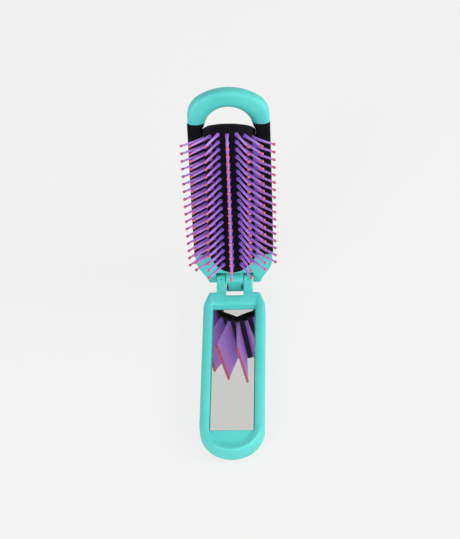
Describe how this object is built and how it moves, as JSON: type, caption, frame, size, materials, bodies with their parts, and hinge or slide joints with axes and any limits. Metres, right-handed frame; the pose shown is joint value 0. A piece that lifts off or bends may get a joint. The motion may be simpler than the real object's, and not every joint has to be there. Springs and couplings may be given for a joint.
{
  "type": "folding hairbrush with mirror",
  "caption": "Folding pocket hairbrush: an arched brush head with splayed ball-tipped bristles on a rubber pad, hinged to a handle with an inset mirror.",
  "frame": {"origin": "centre of the handle's flat back face, on which the brush lies", "axes": "+Y along the handle towards the hinge, +Z out of the mirror, away from the surface it lies on"},
  "size_m": [0.0504, 0.1616, 0.1186],
  "materials": {
    "teal": "soft satin",
    "mirror": "polished",
    "adhesive": "matt",
    "pin": "drawn",
    "grip": "satin",
    "rubber": "fine grain",
    "violet": "smooth",
    "pink": "smooth"
  },
  "bodies": {
    "handle": {"handle_shell": "teal", "handle_bezel": "teal", "mirror_plate": "mirror", "mirror_adhesive": "adhesive"},
    "hinge_pin": {"hinge_pin": "pin"},
    "head": {"head_frame": "teal", "side_grip_left": "grip", "side_grip_right": "grip", "bristle_pad": "rubber"},
    "row_left_3": {"bristles_left_3": "violet", "tips_left_3": "pink"},
    "row_left_2": {"bristles_left_2": "violet", "tips_left_2": "pink"},
    "row_left_1": {"bristles_left_1": "violet", "tips_left_1": "pink"},
    "row_centre": {"bristles_centre": "violet", "tips_centre": "pink"},
    "row_right_1": {"bristles_right_1": "violet", "tips_right_1": "pink"},
    "row_right_2": {"bristles_right_2": "violet", "tips_right_2": "pink"},
    "row_right_3": {"bristles_right_3": "violet", "tips_right_3": "pink"}
  },
  "joints": [
    {"name": "open_flat", "type": "hinge", "parent": "handle", "child": "hinge_pin", "pos_m": [0, 0.06, 0.0113], "axis": [1, 0, 0], "range_deg": [-69, 0]},
    {"name": "fold", "type": "hinge", "parent": "hinge_pin", "child": "head", "pos_m": [0, 0.06, 0.0113], "axis": [1, 0, 0], "range_deg": [0, 111]},
    {"name": "sink_centre", "type": "slide", "parent": "head", "child": "row_centre", "axis": [0, 0.9336, -0.3584], "range_m": [0, 0.039], "deforming": ["bristle_pad"]},
    {"name": "sink_left_1", "type": "hinge", "parent": "head", "child": "row_left_1", "pos_m": [-0.0878, 0.08021, 0.0571], "axis": [0, 0.3584, 0.9336], "range_deg": [0, 26.5]},
    {"name": "sink_right_1", "type": "hinge", "parent": "head", "child": "row_right_1", "pos_m": [0.0878, 0.08021, 0.0571], "axis": [0, -0.3584, -0.9336], "range_deg": [0, 26.5]},
    {"name": "sink_left_2", "type": "hinge", "parent": "head", "child": "row_left_2", "pos_m": [-0.0379, 0.08016, 0.05712], "axis": [0, 0.3584, 0.9336], "range_deg": [0, 61.7]},
    {"name": "sink_right_2", "type": "hinge", "parent": "head", "child": "row_right_2", "pos_m": [0.0379, 0.08016, 0.05712], "axis": [0, -0.3584, -0.9336], "range_deg": [0, 61.7]},
    {"name": "sink_left_3", "type": "hinge", "parent": "head", "child": "row_left_3", "pos_m": [-0.0248, 0.08063, 0.05694], "axis": [0, 0.3584, 0.9336], "range_deg": [0, 79.5]},
    {"name": "sink_right_3", "type": "hinge", "parent": "head", "child": "row_right_3", "pos_m": [0.0248, 0.08063, 0.05694], "axis": [0, -0.3584, -0.9336], "range_deg": [0, 79.5]}
  ],
  "couplings": [
    {"joint": "sink_centre", "follows": "fold", "m_per_rad": 0.02013},
    {"joint": "sink_left_1", "follows": "fold", "ratio": 0.23873},
    {"joint": "sink_right_1", "follows": "fold", "ratio": 0.23873},
    {"joint": "sink_left_2", "follows": "fold", "ratio": 0.55585},
    {"joint": "sink_right_2", "follows": "fold", "ratio": 0.55585},
    {"joint": "sink_left_3", "follows": "fold", "ratio": 0.71621},
    {"joint": "sink_right_3", "follows": "fold", "ratio": 0.71621}
  ]
}
